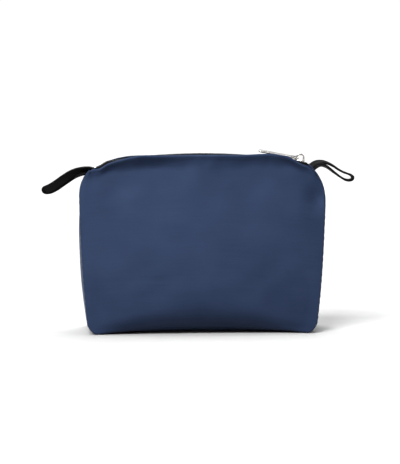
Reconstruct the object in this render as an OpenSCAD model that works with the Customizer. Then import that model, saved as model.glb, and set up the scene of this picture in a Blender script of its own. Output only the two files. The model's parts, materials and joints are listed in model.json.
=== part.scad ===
// Zipped travel document pouch: two crowned fabric walls, side gussets and a flat base, closed by an
// arched coil zip with a metal slider, a long pull, and a ribbon loop at each end of the zip.
// +X runs along the zip towards the closed end, +Y towards the back wall, +Z up.
// The origin is the centre of the base's underside.

/* [Pouch] */
// Half of the pouch's greatest width
half_w = 123; // [110:1:140]
// Half of the base's depth
base_half_d = 39; // [30:1:48]
// Height of the seam corners at both ends of the zip
corner_h = 160.5; // [159:0.5:162]
// Height at which the rounded shoulders begin
shoulder_z = 133; // [130:1:135]
// Radius of the rounded shoulders
shoulder_r = 40; // [38:1:48]
// Radius of the sides below the shoulders, seen from the front
side_r = 980; // [800:10:1400]
// Radius of the corners at the base, seen from the front
foot_r = 8; // [6:1:10]
// Bulge of each wall past the straight line from base to zip
crown = 20; // [8:1:26]
// Bulge of each gusset
gusset_crown = 1.5; // [0:0.5:3]

/* [Cloth] */
// Thickness of the outer cloth with its backing
cloth_t = 1.0; // [0.8:0.1:1.2]
// Thickness of the lining
lining_t = 0.5; // [0.4:0.1:0.7]
// Air between two layers sewn together
layer_gap = 0.3; // [0.2:0.05:0.4]

/* [Zip] */
// Height of the middle of the closed zip
zip_h = 175.8; // [175:0.2:177]
// Radius of the arch that the zip follows
arch_r = 600; // [580:10:640]
// Distance from the middle of the zip to the parked slider
park_x = 98; // [92:1:99]
// Half of the part of the zip that moves with the walls
free_half = 87; // [80:1:87]
// Half of the distance between the walls' top edges
mouth_half = 7.8; // [7.8:0.1:9]
// Spacing of the coil's turns on one tape
coil_pitch = 2.4; // [2:0.1:3]
// Length of the pull
pull_l = 40; // [30:1:44]

/* [Loops] */
// Width of the ribbon
ribbon_w = 8; // [6:0.5:10]
// Thickness of the ribbon
ribbon_t = 1.5; // [1:0.1:1.8]

/* [Hidden] */

// Clearance between pieces that move against each other
clear = 0.35;
floor_gap = cloth_t + clear;
// How far the base, the gussets and their linings stop short of the walls
base_inset = 0.5;
base_lining_inset = 3;
base_corner = 4;
gusset_gap = 0.4;
lining_gap = 1.4;
arch_z = zip_h - arch_r;
park_angle = asin(park_x / arch_r);
free_angle = asin(free_half / arch_r);

// Coil section, from the middle of the zip outwards
coil_half_w = 2.9;
coil_half_t = 1.0;
coil_cord = 0.8;
coil_cord_t = 1.4;
head_reach = 0.8;
turn_w = 0.9;
// Gap from coil to tape, and how far the turns stay inside the cord's edge
bite = 0.1;
// Where the zip bends down to the seam corners
bend_x = 104.5;
coil_end_x = 104;
zip_end_x = 107.4;
// Zip tape
tape_t = 0.5;
tape_depth = cloth_t + 0.5;
tape_flat = mouth_half - 1.65;

// Slider, in its own frame: x along the zip, z up from the middle of the coil
slider_l = 10.6;
slider_front = 5.45;
slider_rear = 4.0;
// The channel widens between these two distances along the slider
fork = [-3, 1.5];
plate_in = coil_half_t + clear;
plate_t = 0.9;
plate_top = plate_in + plate_t;
flange_t = 0.7;
slot_half = 0.75;
post_half = 0.6;
post_end = 0.4;
// The post's point, its widest place and its front
post_x = [1.6, 3.6, 4.9];
// How far the slider's post parts each coil
part_y = 1.6;
bridge_z = 3.7;
bridge_out = 4.4;
bridge_in = 3.2;
bridge_w = 2.6;
// Pull, in the slider's frame
pull_pivot = [-2.2, 3.85];
pull_tilt = -1;
pull_roll = 14;
pull_w = 6.2;
pull_t = 1.5;
eye_in = 6.9;
arm_in = 1.75;
pin_r = 0.65;
slot_r = 1.3;
slot_l = 5.5;
slot_x = 3 - pull_l;

navy = [0.17, 0.24, 0.40];
lining_grey = [0.30, 0.31, 0.34];
black = [0.05, 0.05, 0.05];
nickel = [0.78, 0.76, 0.74];

// Half width of the pouch at height z
function foot_cut(z) = foot_r - sqrt(pow(foot_r, 2) - pow(max(0, foot_r - z), 2));
function side_x(z) = z < shoulder_z
    ? half_w - pow(shoulder_z - z, 2) / (2 * side_r) - foot_cut(z)
    : half_w - shoulder_r + sqrt(pow(shoulder_r, 2) - pow(z - shoulder_z, 2));
corner_x = side_x(corner_h);
base_half_w = side_x(floor_gap);
// Height of the zip's middle, without and with the bend down to its ends
function arch(x) = arch_z + sqrt(pow(arch_r, 2) - x * x);
end_drop = arch(corner_x) - corner_h - 0.5;
function zip_z(x) = arch(x) - end_drop * pow(max(0, abs(x) - bend_x) / (corner_x - bend_x), 2);

// Seam height and half depth of the gusset at v, from 0 at the base to 1 at the zip
function seam_z(v) = floor_gap + v * (corner_h - floor_gap);
function seam_x(v) = side_x(seam_z(v)) - gusset_crown * sin(180 * v);
function gusset_d(v) = base_half_d - (base_half_d - mouth_half) * pow(v, 1.3);
function bulge(u, v) = crown * pow(sin(180 * v), 0.9) * (1 - pow(u, 4));
// A point on the outside of the front wall, with u from -1 at the left seam to 1 at the right one
function wall(u, v) = [
    u * seam_x(v),
    -gusset_d(v) - bulge(u, v),
    seam_z(v) + (zip_z(u * corner_x) + 0.5 - corner_h) * pow(v, 3)];
// A point on the outside of the right gusset, with s from -1 at the front edge to 1 at the back one
function side(s, v, inset) = [
    side_x(seam_z(v)) - gusset_crown * sin(180 * v) * s * s,
    s * (gusset_d(v) - inset),
    seam_z(v)];

function unit(a) = a / norm(a);
function normal(P, i, j) = unit(cross(
    P[min(i + 1, len(P) - 1)][j] - P[max(i - 1, 0)][j],
    P[i][min(j + 1, len(P[0]) - 1)] - P[i][max(j - 1, 0)]));
function sunk(P, d) = [for (i = [0:len(P) - 1]) [for (j = [0:len(P[0]) - 1]) P[i][j] - d * normal(P, i, j)]];
function steps(a, b, n) = [for (k = [0:n]) a + (b - a) * k / n];
function wall_grid(us, vs) = [for (u = us) [for (v = vs) wall(u, v)]];
function flat(P) = [for (row = P) for (p = row) p];

// A closed shell between two grids of points that face the same way
module shell(outer, inner) {
    nu = len(outer) - 1;
    nv = len(outer[0]) - 1;
    row = nv + 1;
    far = (nu + 1) * row;
    polyhedron(
        points = concat(flat(outer), flat(inner)),
        faces = concat(
            [for (i = [0:nu - 1]) for (j = [0:nv - 1]) let (a = i * row + j)
                each [[a, a + row + 1, a + row], [a, a + 1, a + row + 1]]],
            [for (i = [0:nu - 1]) for (j = [0:nv - 1]) let (a = far + i * row + j)
                each [[a, a + row, a + row + 1], [a, a + row + 1, a + 1]]],
            [for (i = [0:nu - 1]) each rim(i * row, (i + 1) * row, far)],
            [for (i = [0:nu - 1]) each rim((i + 1) * row + nv, i * row + nv, far)],
            [for (j = [0:nv - 1]) each rim(j + 1, j, far)],
            [for (j = [0:nv - 1]) each rim(nu * row + j, nu * row + j + 1, far)]),
        convexity = 6);
}
function rim(a, b, far) = [[a, b, b + far], [a, b + far, a + far]];
// A layer of cloth of thickness t, lying depth below the grid of points P
module cloth(P, depth, t) {
    shell(sunk(P, depth), sunk(P, depth + t));
}

// ---- Base and gussets

module plate(half_x, half_y, r, t) {
    linear_extrude(t) union() {
        square([2 * half_x - 2 * r, 2 * half_y], center = true);
        square([2 * half_x, 2 * half_y - 2 * r], center = true);
        for (sx = [-1, 1], sy = [-1, 1])
            translate([sx * (half_x - r), sy * (half_y - r)]) circle(r, $fn = 48);
    }
}
module base_panel() color(navy) plate(base_half_w - base_inset, base_half_d, base_corner, cloth_t);
module base_lining() color(lining_grey)
    translate([0, 0, cloth_t + layer_gap])
        plate(base_half_w - base_lining_inset, base_half_d - base_lining_inset, base_lining_inset, lining_t);

foot_vs = [0, 0.008, 0.02, 0.042];
gusset_rows = concat(foot_vs, steps(0.1, 0.8, 8), steps(0.83, 0.95, 4));
module gusset(depth, t, inset)
    cloth([for (s = steps(-1, 1, 8)) [for (v = gusset_rows) side(s, v, inset)]], depth, t);
module right_gusset() color(navy) gusset(0, cloth_t, cloth_t + gusset_gap);
module left_gusset() mirror([1, 0, 0]) right_gusset();
module right_gusset_lining() color(lining_grey) gusset(cloth_t + layer_gap, lining_t, cloth_t + lining_gap);
module left_gusset_lining() mirror([1, 0, 0]) right_gusset_lining();

// ---- Walls

wall_us = concat(steps(-1, -0.82, 4), steps(-0.72, 0.72, 10), steps(0.82, 1, 4));
wall_vs = concat(foot_vs, steps(0.09, 0.9, 11), [0.95, 1]);
// Shares of the wall's width and height that its lining covers
lining_width = 0.97;
lining_top = 0.915;
module front_panel() color(navy) cloth(wall_grid(wall_us, wall_vs), 0, cloth_t);
module back_panel() mirror([0, 1, 0]) front_panel();
module front_lining() color(lining_grey)
    cloth(wall_grid(lining_width * wall_us, steps(0.02, lining_top, 10)), cloth_t + layer_gap, lining_t);
module back_lining() mirror([0, 1, 0]) front_lining();

// ---- Slip pocket on the back lining

// Shares of the wall's height and half width
pocket_foot = 0.08;
pocket_top = 0.6;
binding_h = 0.03;
pocket_half = 0.47;
pocket_t = 0.6;
binding_t = 1.1;
pocket_us = steps(-pocket_half, pocket_half, 10);
pocket_depth = cloth_t + layer_gap + lining_t + clear;
module pocket_panel() color(lining_grey)
    mirror([0, 1, 0]) cloth(wall_grid(pocket_us, steps(pocket_foot, pocket_top, 7)), pocket_depth, pocket_t);
module pocket_binding() color(black)
    mirror([0, 1, 0])
        cloth(wall_grid(pocket_us, [pocket_top + 0.001, pocket_top + binding_h]), pocket_depth, binding_t);

// ---- Zip tapes, coils and stops

// How far each coil stands off its meshed place at distance x, where the parked slider's post parts the two
function ramp(t) = let (c = min(1, max(0, t))) c * c * (3 - 2 * c);
function parted(x) = part_y * ramp((x - park_x - fork[0] - 0.8) / (fork[1] - fork[0]));
// The front tape's upper side at distance x, from its sewn edge under the wall up to the coil
function tape_line(x, off) = let (u = x / corner_x) concat(
    [for (v = [0.93, 0.965, 1])
        let (p = wall(u, v), up = p - wall(u, v - 0.01), out = unit([0, -up[2], up[1]])) p - tape_depth * out],
    [[x, -tape_flat, zip_z(x) + tape_t / 2], [x, -coil_half_w - off - bite, zip_z(x) + tape_t / 2]]);
coil_xs = steps(free_half + clear, coil_end_x, 12);
end_xs = concat(coil_xs, [(coil_end_x + zip_end_x) / 2, zip_end_x]);
module front_zip_tape() color(black)
    cloth([for (x = steps(-free_half, free_half, 12)) tape_line(x, 0)], 0, tape_t);
module back_zip_tape() mirror([0, 1, 0]) front_zip_tape();
module zip_end(part) color(black) for (m = [0, 1]) mirror([0, m, 0])
    cloth([for (x = end_xs) tape_line(x, part * parted(x))], 0, tape_t);
module right_zip_end() zip_end(1);
module left_zip_end() mirror([1, 0, 0]) zip_end(0);

// Places its children on the zip's arch at an angle from the top, with x along the zip
module on_arch(angle) translate([0, 0, arch_z]) rotate([0, angle, 0]) translate([0, 0, arch_r]) children();
function turn_angle(k) = k * coil_pitch / arch_r * 180 / PI;
// One turn of the front coil, standing off its meshed place by off
module coil_turn(k, off) on_arch(turn_angle(k))
    translate([-turn_w / 2, bite - coil_half_w - off, -coil_half_t])
        cube([turn_w, coil_half_w + head_reach - bite, 2 * coil_half_t]);
free_turns = floor((free_half - 2) / coil_pitch);
module free_coil(shift) color(black) union() {
    translate([0, 0, arch_z]) rotate([90, 0, 0]) rotate([0, 0, 90 - free_angle])
        rotate_extrude(angle = 2 * free_angle, $fn = 360)
            translate([arch_r - coil_cord_t / 2, coil_half_w - coil_cord]) square([coil_cord_t, coil_cord]);
    for (k = [-free_turns:free_turns]) coil_turn(k + shift, 0);
}
module front_zip_coil() free_coil(0);
module back_zip_coil() mirror([0, 1, 0]) free_coil(0.5);
end_turn = ceil((free_half + 2) / coil_pitch);
last_turn = floor((coil_end_x - 2) / coil_pitch);
// The cord's upper side at distance x on one end of the front coil
function cord_line(x, off) =
    [for (y = [coil_half_w, coil_half_w - coil_cord]) [x, -y - off, zip_z(x) + coil_cord_t / 2]];
module half_coil_end(part, shift) union() {
    cloth([for (x = coil_xs) cord_line(x, part * parted(x))], 0, coil_cord_t);
    for (k = [end_turn:last_turn]) coil_turn(k + shift, part * parted(arch_r * sin(turn_angle(k + shift))));
}
module coil_end(part) color(black) {
    half_coil_end(part, 0);
    mirror([0, 1, 0]) half_coil_end(part, -0.5);
}
module right_coil_end() coil_end(1);
module left_coil_end() mirror([1, 0, 0]) coil_end(0);

stop_angle = asin((coil_end_x + 1.6) / arch_r);
top_stop = [1.8, 1.8, 2.2];
bottom_stop_size = [2.2, 5.0, 2.4];
module top_stops() color(nickel) for (m = [0, 1]) mirror([0, m, 0])
    on_arch(stop_angle)
        translate([0, coil_half_w + part_y - top_stop[1] / 2, 0]) cube(top_stop, center = true);
module bottom_stop() color(nickel) on_arch(-stop_angle) cube(bottom_stop_size, center = true);

// ---- Slider and pull

module slider_half_outline() polygon([
    [-slider_l / 2, 0], [-slider_l / 2, slider_rear - 1], [-slider_l / 2 + 1, slider_rear],
    [fork[0], slider_rear], [fork[1], slider_front], [slider_l / 2 - 1.6, slider_front],
    [slider_l / 2, slider_front - 1.8], [slider_l / 2, 0]]);
module channel_half() polygon([
    [-slider_l, 0], [-slider_l, slider_rear - flange_t], [fork[0], slider_rear - flange_t],
    [fork[1], slider_front - flange_t], [slider_l, slider_front - flange_t], [slider_l, 0]]);
module both_sides() for (m = [0, 1]) mirror([0, m, 0]) children();
module slider_plate() {
    translate([0, 0, plate_in]) linear_extrude(plate_t) both_sides() slider_half_outline();
    translate([0, 0, slot_half]) linear_extrude(plate_in + plate_t / 3 - slot_half) difference() {
        both_sides() slider_half_outline();
        both_sides() channel_half();
    }
}
module slider_body() color(nickel) on_arch(park_angle) union() {
    for (m = [0, 1]) mirror([0, 0, m]) slider_plate();
    linear_extrude(2 * plate_in + plate_t / 2, center = true) polygon([
        [post_x[0], 0], [post_x[1], -post_half], [post_x[2], -post_end],
        [post_x[2], post_end], [post_x[1], post_half]]);
}
module slider_bridge() color(nickel) on_arch(park_angle)
    rotate([90, 0, 0]) translate([0, 0, -bridge_w / 2]) linear_extrude(bridge_w) difference() {
        union() {
            translate([0, bridge_z]) circle(bridge_out, $fn = 96);
            translate([-bridge_out, plate_top]) square([2 * bridge_out, bridge_z - plate_top]);
        }
        translate([0, bridge_z]) circle(bridge_in, $fn = 96);
        translate([-bridge_in, 0]) square([2 * bridge_in, bridge_z]);
        translate([-2 * bridge_out, plate_top - 2 * bridge_out]) square([4 * bridge_out, 2 * bridge_out]);
    }
module pull_outline() difference() {
    union() {
        translate([-pull_l + pull_w / 2, 0]) circle(pull_w / 2, $fn = 96);
        translate([-pull_l + pull_w / 2, -pull_w / 2]) square([pull_l - pull_w / 2, pull_w]);
    }
    translate([-eye_in, -arm_in]) square([eye_in + 1, 2 * arm_in]);
    for (x = [slot_x, slot_x + slot_l]) translate([x, 0]) circle(slot_r, $fn = 48);
    translate([slot_x, -slot_r]) square([slot_l, 2 * slot_r]);
}
module pull_tab() color(nickel) on_arch(park_angle)
    translate([pull_pivot[0], 0, pull_pivot[1]]) rotate([pull_roll, -pull_tilt, 0]) union() {
        translate([0, 0, -pull_t / 2]) linear_extrude(pull_t) pull_outline();
        rotate([90, 0, 0]) cylinder(r = pin_r, h = pull_w, center = true, $fn = 48);
        for (s = [-1, 1]) translate([0, s * (arm_in + pull_w / 2) / 2, 0])
            rotate([90, 0, 0]) cylinder(r = pull_t / 2, h = pull_w / 2 - arm_in, center = true, $fn = 48);
    }

// ---- Ribbon loops

// Points along the middle of each ribbon, [x, y, z, turn of its face about its own line in degrees]
right_route = [
    [109.4, 0.9, 166.2, 20], [112.8, 0.8, 169.0, 20], [117.5, 0.7, 170.4, 15],
    [122.0, 0.6, 169.7, 10], [126.8, 0.4, 167.3, 5], [131.4, 0.2, 164.4, 0],
    [136.0, 0.0, 161.6, -4], [140.8, 0.0, 159.4, -8], [145.6, 0.0, 157.8, -10],
    [149.8, 0.0, 156.2, -12], [152.2, 0.0, 153.6, -12], [151.6, 0.0, 150.6, -12],
    [148.4, 0.0, 149.0, -10], [144.6, 0.0, 149.8, -8], [140.4, 0.0, 152.2, -6],
    [135.8, -0.1, 156.0, -2], [131.0, -0.2, 160.2, 2], [126.0, -0.4, 164.0, 6],
    [121.2, -0.6, 166.4, 12], [117.0, -0.8, 166.5, 18], [113.2, -0.9, 164.4, 20],
    [111.2, -0.9, 162.8, 20]];
left_route = [
    [-111.0, -0.9, 160.4, 30], [-115.8, -0.9, 160.8, 38], [-121.0, -1.1, 160.0, 48],
    [-126.0, -1.5, 158.4, 58], [-131.0, -2.1, 155.9, 68], [-136.2, -2.8, 152.6, 76],
    [-141.4, -3.4, 149.0, 82], [-146.8, -3.7, 145.3, 86], [-151.2, -3.3, 142.8, 88],
    [-154.4, -1.7, 141.3, 88], [-155.3, 0.3, 140.7, 88], [-154.2, 2.3, 140.2, 88],
    [-150.6, 3.6, 140.6, 88], [-145.8, 3.6, 142.8, 86], [-140.6, 3.2, 146.3, 82],
    [-135.6, 2.6, 149.8, 76], [-130.6, 2.1, 153.2, 68], [-125.8, 1.5, 155.8, 58],
    [-121.0, 1.1, 157.4, 48], [-116.4, 0.9, 158.2, 38], [-112.0, 0.9, 158.0, 30]];
// A smooth curve through the route's points, with two rings to each stretch
function spline(R, i, t) =
    let (a = R[max(i - 1, 0)], b = R[i], c = R[i + 1], d = R[min(i + 2, len(R) - 1)])
    0.5 * (2 * b + (c - a) * t + (2 * a - 5 * b + 4 * c - d) * t * t + (3 * b - a - 3 * c + d) * t * t * t);
function smooth(R) = concat([for (i = [0:len(R) - 2]) for (t = [0, 0.5]) spline(R, i, t)], [R[len(R) - 1]]);
function place(q) = [q[0], q[1], q[2]];
function along(Q, i) = unit(place(Q[min(i + 1, len(Q) - 1)]) - place(Q[max(i - 1, 0)]));
// The four corners of the ribbon's section at point i, turned about its own line from lying flat across it
function ribbon_ring(Q, i) = let (
    d = along(Q, i), level = unit([0, 1, 0] - d[1] * d), up = cross(d, level), a = Q[i][3],
    wide = cos(a) * level + sin(a) * up, thin = cross(d, wide), p = place(Q[i]))
    [for (c = [[-1, -1], [1, -1], [1, 1], [-1, 1]])
        p + c[0] * wide * ribbon_w / 2 + c[1] * thin * ribbon_t / 2];
module ribbon(route) {
    Q = smooth(route);
    n = len(Q) - 1;
    polyhedron(
        points = flat([for (i = [0:n]) ribbon_ring(Q, i)]),
        faces = concat(
            [[0, 1, 2], [0, 2, 3], [4 * n + 2, 4 * n + 1, 4 * n], [4 * n + 3, 4 * n + 2, 4 * n]],
            [for (i = [0:n - 1]) for (k = [0:3]) let (a = 4 * i + k, b = 4 * i + (k + 1) % 4)
                each [[a, b + 4, b], [a, a + 4, b + 4]]]),
        convexity = 6);
}
module right_loop() color(black) ribbon(right_route);
module left_loop() color(black) ribbon(left_route);

base_panel();
base_lining();
left_gusset();
right_gusset();
left_gusset_lining();
right_gusset_lining();
left_zip_end();
right_zip_end();
left_coil_end();
right_coil_end();
top_stops();
bottom_stop();
front_panel();
front_lining();
front_zip_tape();
front_zip_coil();
back_panel();
back_lining();
back_zip_tape();
back_zip_coil();
pocket_panel();
pocket_binding();
slider_body();
slider_bridge();
pull_tab();
left_loop();
right_loop();
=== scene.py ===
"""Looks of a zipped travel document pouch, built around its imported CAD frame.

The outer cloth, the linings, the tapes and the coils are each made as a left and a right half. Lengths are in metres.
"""

import json
import math

import bmesh
import bpy
import numpy as np
from mathutils import Matrix, Vector


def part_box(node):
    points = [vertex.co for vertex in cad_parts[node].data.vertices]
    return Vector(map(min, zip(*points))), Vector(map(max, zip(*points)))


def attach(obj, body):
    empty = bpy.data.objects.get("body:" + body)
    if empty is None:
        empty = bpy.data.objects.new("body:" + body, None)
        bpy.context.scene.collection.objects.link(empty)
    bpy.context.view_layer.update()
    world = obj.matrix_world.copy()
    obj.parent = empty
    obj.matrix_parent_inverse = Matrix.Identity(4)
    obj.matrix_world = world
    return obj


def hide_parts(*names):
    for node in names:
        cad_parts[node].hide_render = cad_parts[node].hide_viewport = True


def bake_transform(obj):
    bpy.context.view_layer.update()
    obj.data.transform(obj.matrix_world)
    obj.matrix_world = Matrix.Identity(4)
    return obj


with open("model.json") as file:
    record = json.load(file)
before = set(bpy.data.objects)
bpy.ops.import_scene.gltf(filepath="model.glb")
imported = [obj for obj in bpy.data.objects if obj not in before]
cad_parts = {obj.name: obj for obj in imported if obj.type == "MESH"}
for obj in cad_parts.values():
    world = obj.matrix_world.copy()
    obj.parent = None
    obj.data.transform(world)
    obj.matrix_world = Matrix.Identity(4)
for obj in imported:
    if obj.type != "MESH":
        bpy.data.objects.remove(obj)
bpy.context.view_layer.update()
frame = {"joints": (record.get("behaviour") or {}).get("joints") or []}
joints = {joint["name"]: joint for joint in frame["joints"]}
MM = 0.001

# ---- Sizes, from the frame and from the design that it was made from

HALF_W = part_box("right_gusset")[1].x
BASE_HALF_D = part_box("base_panel")[1].y
ARCH_Z = joints["slider_travel"]["pos_m"][2]
ZIP_H = 0.1758
ARCH_R = ZIP_H - ARCH_Z
CORNER_H = 0.1605
SHOULDER_Z = 0.133
SHOULDER_R = 0.040
SIDE_R = 0.980
FOOT_R = 0.0115
MOUTH_HALF = 0.0078
GUSSET_CROWN = 0.0015
SEAM_FOOT = 0.0004
FRONT_BOW = 0.0064
BACK_BOW = 0.0036
CLOTH_T = 0.0010
LINING_T = 0.0005
LAYER_GAP = 0.0003
PARK_X = 0.098
BEND_X = 0.1045
# PARK_X is where the slider is parked, and past BEND_X the ends of the zip drop
PARK_ANGLE = math.asin(PARK_X / ARCH_R)
# How far each wall stands out over its foot, and over its whole height
BELLY = 9.5 * MM
PILLOW = 6.0 * MM
# How far the foot of each wall is drawn in, and the cloth under the zip tucked in
FRONT_FOOT_IN = 5.0 * MM
BACK_FOOT_IN = 3.0 * MM
FRONT_TUCK = 5.6 * MM
BACK_TUCK = 4.8 * MM
# How far the zip's left end hangs, and the distance from the middle where that starts
HANG = 3.8 * MM
HANG_START = 0.0925
# Estimated flat sizes of the cloths, without seam allowance: width and length
HALF_PANEL_CUT = (0.124, 0.184)
HALF_LINING_CUT = (0.120, 0.165)

# ---- Shape of the pouch


def smooth(t):
    t = np.clip(t, 0.0, 1.0)
    return t * t * (3 - 2 * t)


def hump(x, centre, half_width):
    """A smooth bump, 1 at centre and near 0 past twice half_width."""
    return np.exp(-(((x - centre) / half_width) ** 2))


def side_x(z, right=0.0):
    """Half width of the pouch at height z. The right side leans in at its foot and swells under its shoulder."""
    z = np.asarray(z, float)
    lean = right * MM * (3.0 * np.clip(1 - z / 0.095, 0, 1) ** 1.3 - 1.3 * hump(z, 0.128, 0.024))
    foot = FOOT_R - np.sqrt(FOOT_R**2 - np.clip(FOOT_R - z, 0, FOOT_R) ** 2)
    low = HALF_W - (SHOULDER_Z - z) ** 2 / (2 * SIDE_R) - foot
    high = HALF_W - SHOULDER_R + np.sqrt(np.clip(SHOULDER_R**2 - (z - SHOULDER_Z) ** 2, 0, None))
    return np.where(z < SHOULDER_Z, low, high) - lean


CORNER_X = float(side_x(CORNER_H))


def arch(x):
    return ARCH_Z + np.sqrt(ARCH_R**2 - np.asarray(x, float) ** 2)


END_DROP = float(arch(CORNER_X)) - CORNER_H - 0.5 * MM


def droop(x):
    """How far the left end of the zip hangs under the arch that the slider follows."""
    return HANG * smooth((-x - HANG_START) / 0.012) * (1 - 0.5 * smooth((-x - 0.1045) / 0.009))


def zip_z(x):
    """Height of the middle of the zip at distance x."""
    x = np.clip(x, -CORNER_X, CORNER_X)
    past = np.clip((np.abs(x) - BEND_X) / (CORNER_X - BEND_X), 0, None)
    return arch(x) - END_DROP * past**2 - droop(x)


def seam_z(v):
    return SEAM_FOOT + v * (CORNER_H - SEAM_FOOT)


def seam_x(v, right=0.0):
    return side_x(seam_z(v), right) - GUSSET_CROWN * np.sin(np.pi * v)


def gusset_d(v):
    return BASE_HALF_D - (BASE_HALF_D - MOUTH_HALF) * np.clip(v, 0, 1) ** 1.3


def foot_in(u, v, side):
    """How far the foot of a wall is drawn in at the middle, where its seam lifts off the ground."""
    crest = crest_height(u)
    depth = FRONT_FOOT_IN if side < 0 else BACK_FOOT_IN
    return depth * (1 - np.abs(u) ** 2.2) * np.clip(1 - v / crest, 0, 1) ** 2


def crest_height(u):
    """Share of a wall's height at which it stands out most: an arch over the middle, low at the bottom corners."""
    return 0.22 * np.maximum((1 - np.abs(u)) ** 0.6, 0.05)


def bulge(u, v):
    """How far a wall stands out past the straight line from base to zip."""
    across = np.cos(0.5 * np.pi * np.clip(np.abs(u) * 1.12, 0, 1))
    crest = crest_height(u)
    rise = np.sin(0.5 * np.pi * np.clip(v / crest, 0, 1))
    past = np.clip((v - crest) / (1 - crest), 0, 1)
    fall = 1 - (np.sqrt(past**2 + 0.0144) - 0.12) / 0.887
    pillow = np.sin(np.pi * np.clip(v, 0, 1)) * (1 - u**6)
    return BELLY * across * np.where(v < crest, rise, fall) + PILLOW * pillow


def top_edge(x, side):
    """Height of a wall's top edge, which stands over the zip's middle at the shoulders."""
    if side > 0:
        lift = 1.9 * hump(np.abs(x), 0.074, 0.020) - 0.5 * hump(x, -0.094, 0.008)
    else:
        lift = 1.8 * hump(x, -0.062, 0.016) + 4.2 * hump(x, 0.075, 0.026) - 2.2 * hump(x, -0.098, 0.011)
        lift = lift - 3.9 * smooth((x - 0.084) / 0.018) - 0.8 * hump(x, 0.0, 0.035)
    return zip_z(x) + 0.5 * MM + lift * MM


def tuck(x, below, depth, swag):
    """A hollow under the zip's hem. It eases out far down the wall and by the side seams, and its swags ease out
    nearer the zip."""
    reach = 0.014 - 0.005 * smooth((np.abs(x) - 0.075) / 0.020)
    inward = smooth(below / reach) * (0.35 + 0.65 * smooth((0.117 - np.abs(x)) / 0.035))
    hem = 1.5 * MM * hump(below, 0.0016, 0.0024) * at_ends(x)
    return inward * (depth * np.clip(1 - below / 0.13, 0, 1) + swag * (1 - smooth((below - 0.010) / 0.034))) - hem


def at_ends(x):
    """1 along the zip, easing to 0 before both side seams."""
    return smooth((0.112 - np.abs(x)) / 0.016)


def soft_dents(x, z, below, turn):
    """Shallow wandering dents of cloth that nothing pulls tight."""
    wander = np.sin(95 * x + 2.1 * np.sin(60 * z) + turn) * np.sin(80 * z + 1.3 * np.sin(50 * x) + 2 * turn)
    return 0.35 * MM * wander * smooth(z / 0.03) * smooth(below / 0.02) * at_ends(x)


def front_relief(x, z, below):
    """Dents and creases of the front wall: how far the cloth stands in, at distance x, height z and below the zip."""
    swag = MM * (4.1 * hump(x, -0.056, 0.030) + 1.3 * hump(x, 0.078, 0.026) - 2.8 * hump(x, 0.002, 0.018))
    puckers = 0.35 * MM * np.sin(x * 310 + 1.3 * np.sin(x * 93)) * hump(below, 0.006, 0.006)
    dimple = 5.0 * MM * hump(x, 0.114, 0.010) * hump(z, 0.133, 0.012)
    hollow = 1.6 * MM * hump(x, 0.116, 0.014) * hump(z, 0.100, 0.040)
    left_hollow = 0.4 * MM * hump(x, -0.045, 0.022) * hump(z, 0.125, 0.03)
    crease = 0.55 * MM * hump(z, 0.0605 + 0.09 * (x - 0.1), 0.0011) * hump(x, 0.101, 0.010)
    left_crease = 0.35 * MM * hump(z, 0.0547, 0.0012) * hump(x, -0.052, 0.014)
    under = tuck(x, below, FRONT_TUCK, swag) + puckers * at_ends(x)
    return under + dimple + hollow + left_hollow + crease + left_crease + soft_dents(x, z, below, 0.4)


def back_relief(x, z, below):
    """The same for the back wall."""
    swag = MM * (3.4 * hump(x, 0.045, 0.030) + 2.6 * hump(x, -0.058, 0.024) - 1.5 * hump(x, -0.004, 0.018))
    puckers = 0.35 * MM * np.sin(x * 280 + 1.1 * np.sin(x * 71)) * hump(below, 0.006, 0.006)
    dimple = 2.2 * MM * hump(x, -0.104, 0.010) * hump(z, 0.135, 0.016)
    crease = 0.4 * MM * hump(z, 0.072 + 0.06 * (x + 0.09), 0.0012) * hump(x, -0.09, 0.016)
    under = tuck(x, below, BACK_TUCK, swag) + puckers * at_ends(x)
    return under + dimple + crease + soft_dents(x, z, below, 2.7)


def wall(u, v, side):
    """Points on the outside of a wall, with side -1 for the front and 1 for the back."""
    x = u * seam_x(v, np.asarray(u) > 0)
    top = top_edge(u * CORNER_X, side)
    bow = (FRONT_BOW if side < 0 else BACK_BOW) * (1 - np.abs(u) ** 2.2) * (1 - v) ** 9
    z = seam_z(v) + (top - CORNER_H) * v**3 + bow
    below = top_edge(x, side) - z
    relief = front_relief(x, z, below) if side < 0 else back_relief(x, z, below)
    return np.stack([x, side * (gusset_d(v) + bulge(u, v) - foot_in(u, v, side) - relief), z], axis=-1)


# ---- Grids and meshes


def spaced(length, step, fine=(0.0, 0.35, 0.8, 1.4, 2.1, 3.0)):
    """Parameters from 0 to 1 along a length: close together near both ends, then a step apart."""
    ends = [f * MM / length for f in fine]
    count = max(4, round((length - 2 * fine[-1] * MM) / step))
    middle = list(np.linspace(ends[-1], 1 - ends[-1], count + 1))[1:-1]
    return np.array(ends + middle + [1 - e for e in reversed(ends)])


def normals_of(grid, flip):
    du = np.gradient(grid, axis=0)
    dv = np.gradient(grid, axis=1)
    n = np.cross(du, dv)
    length = np.linalg.norm(n, axis=-1, keepdims=True)
    return n / np.maximum(length, 1e-12) * (-1 if flip else 1)


def arc_lengths(grid):
    """Distances along both ways of a grid, for its weave."""
    along_u = np.cumsum(np.linalg.norm(np.diff(grid, axis=0), axis=-1), 0)
    along_v = np.cumsum(np.linalg.norm(np.diff(grid, axis=1), axis=-1), 1)
    su = np.concatenate([np.zeros((1,) + grid.shape[1:2]), along_u])
    sv = np.concatenate([np.zeros(grid.shape[:1] + (1,)), along_v], 1)
    return su - su.mean(0, keepdims=True), sv


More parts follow.
